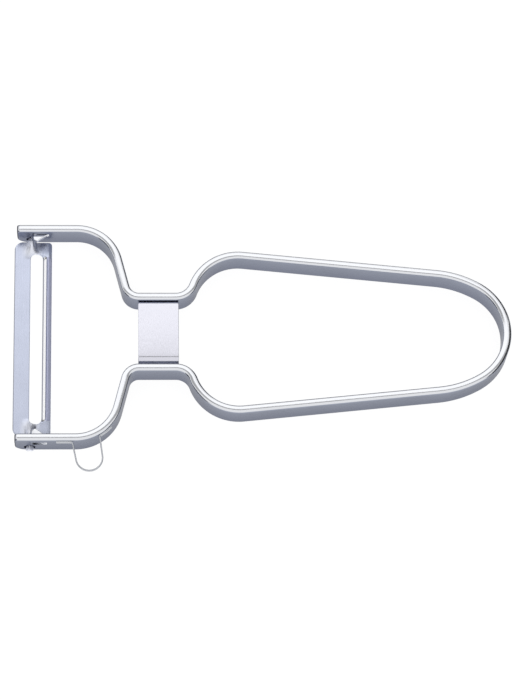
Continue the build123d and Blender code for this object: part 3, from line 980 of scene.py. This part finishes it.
def blade_finish(finish, blade):
    """Brushed steel whose fine lines run along the blade, with a painted highlight on the slope where it is ground
    to its edge.

    The bar behind the slope has painted shade, the stamped edges carry painted dark reflection lines, and the
    folds are matt and painted pale as painted light.
    """
    shading = material_shading("blade_steel")
    lines = shading.lines(BLADE_GRAIN)
    x, y, _ = shading.place()
    start = PIVOT.x + bar_limits(blade)[0]
    half_length = blade.slot_half_length - blade.ground_margin - blade.shoulder_width
    along = shading.math("COMPARE", y, PIVOT.y, half_length)
    on_bar = shading.math("GREATER_THAN", x, start - blade.slot_lead)
    on_highlit_slope = shading.between(x, start, start + blade.ground_width)
    # Where the painted dark reflection lines lie along the stamped edges.
    slot_shade_mask = shading.math("COMPARE", x, start, finish.slot_line)
    outer_shade_mask = shading.math("COMPARE", x, PIVOT.x - blade.reach, finish.outer_line)
    bar, slope, slot_line = (shading.math("MULTIPLY", one, along) for one in (on_bar, on_highlit_slope, slot_shade_mask))
    colour = shading.clouded(BLADE_GRAIN, finish.blade_colour)
    # Painted shade on the bar behind the ground slope.
    colour = shading.colours(bar, colour, finish.bar_shade_colour)
    # Painted highlight on the ground slope.
    colour = shading.colours(slope, colour, finish.ground_highlight_colour)
    # Painted dark reflection lines along the stamped edges.
    colour = shading.colours(shading.math("MAXIMUM", outer_shade_mask, slot_line), colour, finish.edge_shade_colour)
    beside = shading.math("ABSOLUTE", shading.math("SUBTRACT", x, PIVOT.x))
    outwards = shading.math("ABSOLUTE", shading.math("SUBTRACT", y, PIVOT.y))
    near = shading.ramp(beside, finish.fold_start, finish.fold_full)
    fold_end = blade.half_length - blade.fold_run
    fold = shading.math("MULTIPLY", near, shading.ramp(outwards, fold_end, fold_end + finish.fold_fade))
    # Painted light: the folds next to the tongues are painted pale.
    colour = shading.colours(fold, colour, finish.fold_light_colour)
    roughness = shading.swinging(lines, finish.blade_roughness, BLADE_GRAIN.swing)
    roughness = shading.mix(fold, roughness, finish.fold_roughness)
    return steel(shading, colour, roughness, lines, BLADE_GRAIN)


def plain_finish(name, colour, roughness, grain):
    """Brushed steel whose fine lines run along one axis, with faint clouding."""
    shading = material_shading(name)
    lines = shading.lines(grain)
    colour = shading.clouded(grain, colour)
    return steel(shading, colour, shading.swinging(lines, roughness, grain.swing), lines, grain)


class PEELER_OT_frame(bpy.types.Operator):
    """Bend the handle, the waist and the arms from one strip"""

    bl_idname = "peeler.frame"
    bl_label = "Handle frame"

    def execute(self, context):
        strip = context.scene.peeler_strip
        piece = fresh_object("peeler_frame", strip_mesh(strip))
        for cutter in (hole_cutter(strip), window_cutter(strip)):
            combine(piece, cutter, "DIFFERENCE")
        for side in (1, -1):
            combine(piece, tab_mesh(strip, side), "UNION")
        material = strip_finish(context.scene.peeler_finishes, strip)
        finish_piece(piece, material, "frame", "handle_frame")
        return {"FINISHED"}


class PEELER_OT_plate(bpy.types.Operator):
    """Set the channel between the legs at the waist"""

    bl_idname = "peeler.plate"
    bl_label = "Waist plate"

    def execute(self, context):
        finish = context.scene.peeler_finishes
        mesh = plate_mesh(context.scene.peeler_plate, context.scene.peeler_strip)
        material = plain_finish("plate_steel", finish.plate_colour, finish.plate_roughness, PLATE_GRAIN)
        piece = fresh_object("peeler_waist_plate", mesh)
        finish_piece(piece, material, "frame", "waist_plate")
        return {"FINISHED"}


class PEELER_OT_blade(bpy.types.Operator):
    """Stamp and grind the blade, and fold its pivot tongues"""

    bl_idname = "peeler.blade"
    bl_label = "Swivel blade"

    def execute(self, context):
        blade = context.scene.peeler_blade
        shells = [blade_mesh(blade), tongue_mesh(blade, 1), tongue_mesh(blade, -1)]
        piece = fresh_object("peeler_blade", joined("peeler_blade", shells))
        material = blade_finish(context.scene.peeler_finishes, blade)
        finish_piece(piece, material, "blade", "swivel_blade")
        return {"FINISHED"}


class PEELER_OT_eye_remover(bpy.types.Operator):
    """Bend the eye remover from ribbon outside one arm"""

    bl_idname = "peeler.eye_remover"
    bl_label = "Eye remover"

    def execute(self, context):
        finish = context.scene.peeler_finishes
        mesh = ribbon_mesh(context.scene.peeler_ribbon, context.scene.peeler_strip)
        material = plain_finish("ribbon_steel", finish.ribbon_colour, finish.ribbon_roughness, RIBBON_GRAIN)
        piece = fresh_object("peeler_eye_remover", mesh)
        finish_piece(piece, material, "frame", "eye_remover")
        return {"FINISHED"}


def stage_sheet(name, corners, material):
    """Flat sheet of the stage with four corners."""
    mesh = bpy.data.meshes.new(name)
    mesh.from_pydata([tuple(corner) for corner in corners], [], [(0, 1, 2, 3)])
    mesh.materials.append(material)
    sheet = fresh_object(name, mesh)
    return sheet


def floor_finish(studio):
    """Pale floor that keeps shadows, with enough light of its own to be white where it is lit."""
    shading = material_shading("studio_floor")
    glow = shading.math("MULTIPLY", shading.shown_rays(), studio.floor_share)
    paint = shading.add("ShaderNodeBsdfDiffuse", {"Color": (*studio.floor_colour, 1)})
    light = shading.add("ShaderNodeEmission", {"Color": WHITE, "Strength": studio.floor_glow})
    return shading.finish(shading.add("ShaderNodeMixShader", {0: glow, 1: paint.outputs[0], 2: light.outputs[0]}))


def card_finish(name, shade):
    """Matt card, as an even low light so that it reads the same from any side."""
    shading = material_shading(name)
    return shading.finish(shading.add("ShaderNodeEmission", {"Color": (shade, shade, shade, 1), "Strength": 1.0}))


def card_corners(studio):
    """Corners of every dark card by its name, from the two tables of cards."""
    distance, corners = studio.card_distance, {}
    for name, (first_tilt, last_tilt, half_length) in LEANING_CARDS.items():
        rays = [(math.sin(math.radians(tilt)), math.cos(math.radians(tilt))) for tilt in (first_tilt, last_tilt)]
        (low_y, low_z), (high_y, high_z) = [(distance * y, distance * z) for y, z in rays]
        low, high = [(-half_length, low_y, low_z), (half_length, low_y, low_z)], (high_y, high_z)
        corners[name] = low + [(half_length, *high), (-half_length, *high)]
    for name, (places, low_y, high_y, height) in UPRIGHT_CARDS.items():
        x = places * distance
        corners[name] = [(x, low_y, 0), (x, high_y, 0), (x, high_y, height), (x, low_y, height)]
    return corners


def white_surroundings(studio):
    """White to the camera and in reflections, and level light for everything else."""
    world = bpy.data.worlds.get("studio") or bpy.data.worlds.new("studio")
    shading = Shading(world, "ShaderNodeOutputWorld")
    level = shading.add("ShaderNodeBackground", {"Color": WHITE, "Strength": studio.ambient})
    white = shading.add("ShaderNodeBackground", {"Color": WHITE, "Strength": 1.0})
    rays = {0: shading.shown_rays(), 1: level.outputs[0], 2: white.outputs[0]}
    return shading.finish(shading.add("ShaderNodeMixShader", rays))


def studio_lamp(studio):
    """Broad lamp that leans over the peeler from the far side and isn't seen itself."""
    width = 2 * studio.lamp_distance * math.tan(studio.lamp_width / 2)
    light = bpy.data.lights.new("studio_lamp", "AREA")
    light.shape = "RECTANGLE"
    light.size, light.size_y = studio.lamp_length, width
    light.energy = studio.lamp_glow * math.pi * studio.lamp_length * width
    lamp = fresh_object("studio_lamp", light)
    lean = studio.lamp_tilt
    over = studio.lamp_distance
    lamp.location = (studio.lamp_shift, over * math.sin(lean), over * math.cos(lean))
    lamp.rotation_euler = (-lean, 0, 0)
    lamp.visible_camera = False


def studio_camera(studio):
    """Camera that looks at the aim along its own turned axis."""
    camera = fresh_object("studio_camera", bpy.data.cameras.new("studio_camera"))
    camera.data.lens = studio.lens
    camera.data.sensor_width = SENSOR_WIDTH
    camera.data.clip_start, camera.data.clip_end = CLIP_RANGE
    camera.rotation_mode = "ZYX"
    camera.rotation_euler = (studio.tilt, studio.pan, studio.roll)
    towards_camera = camera.rotation_euler.to_matrix().col[2]
    camera.location = Vector((studio.aim_x, studio.aim_y, studio.aim_z)) + studio.distance * towards_camera
    return camera


class PEELER_OT_studio(bpy.types.Operator):
    """Set up the floor, the lamp, the dark cards and the camera"""

    bl_idname = "peeler.studio"
    bl_label = "Studio"

    def execute(self, context):
        scene, studio = context.scene, context.scene.peeler_studio
        half, below = studio.floor_half, -studio.floor_drop
        corners = [(-half, -half, below), (half, -half, below), (half, half, below), (-half, half, below)]
        stage_sheet("studio_floor", corners, floor_finish(studio))
        dark, grey = card_finish("studio_card", studio.card_shade), card_finish("studio_gap", studio.gap_shade)
        for name, corners in card_corners(studio).items():
            card = stage_sheet(name, corners, grey if name == "studio_card_gap" else dark)
            for ray in ("camera", "diffuse", "transmission", "volume_scatter", "shadow"):
                setattr(card, f"visible_{ray}", False)
        studio_lamp(studio)
        scene.camera = studio_camera(studio)
        scene.world = white_surroundings(studio)
        scene.view_settings.view_transform = "Standard"
        return {"FINISHED"}


class PEELER_PT_sidebar(bpy.types.Panel):
    """Lists the pieces of the peeler, its finishes and its studio"""

    bl_idname = "PEELER_PT_sidebar"
    bl_label = "Swivel peeler"
    bl_space_type = "VIEW_3D"
    bl_region_type = "UI"
    bl_category = "Peeler"

    def draw(self, context):
        for group in GROUPS:
            box = self.layout.box()
            if group in OPERATORS:
                box.operator(OPERATORS[group].bl_idname)
            sizes = getattr(context.scene, group)
            for name in sizes.bl_rna.properties.keys():
                if name not in ("rna_type", "name"):
                    box.prop(sizes, name)


GROUPS = {
    "peeler_strip": StripSizes,
    "peeler_plate": PlateSizes,
    "peeler_blade": BladeSizes,
    "peeler_ribbon": RibbonSizes,
    "peeler_finishes": Finishes,
    "peeler_studio": StudioSizes,
}

# Operators by the group of sizes that each works from
OPERATORS = {
    "peeler_strip": PEELER_OT_frame,
    "peeler_plate": PEELER_OT_plate,
    "peeler_blade": PEELER_OT_blade,
    "peeler_ribbon": PEELER_OT_eye_remover,
    "peeler_studio": PEELER_OT_studio,
}


def register():
    """Makes the sizes, the operators and the panel known to Blender."""
    for name, group in GROUPS.items():
        bpy.utils.register_class(group)
        setattr(bpy.types.Scene, name, PointerProperty(type=group))
    for operator in OPERATORS.values():
        bpy.utils.register_class(operator)
    bpy.utils.register_class(PEELER_PT_sidebar)


def unregister():
    """Takes them away again."""
    bpy.utils.unregister_class(PEELER_PT_sidebar)
    for operator in OPERATORS.values():
        bpy.utils.unregister_class(operator)
    for name, group in GROUPS.items():
        delattr(bpy.types.Scene, name)
        bpy.utils.unregister_class(group)


def main():
    """Registers the add-on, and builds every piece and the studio."""
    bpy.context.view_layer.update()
    register()
    bpy.ops.peeler.frame()
    bpy.ops.peeler.plate()
    bpy.ops.peeler.blade()
    bpy.ops.peeler.eye_remover()
    bpy.ops.peeler.studio()


if __name__ == "__main__":
    main()
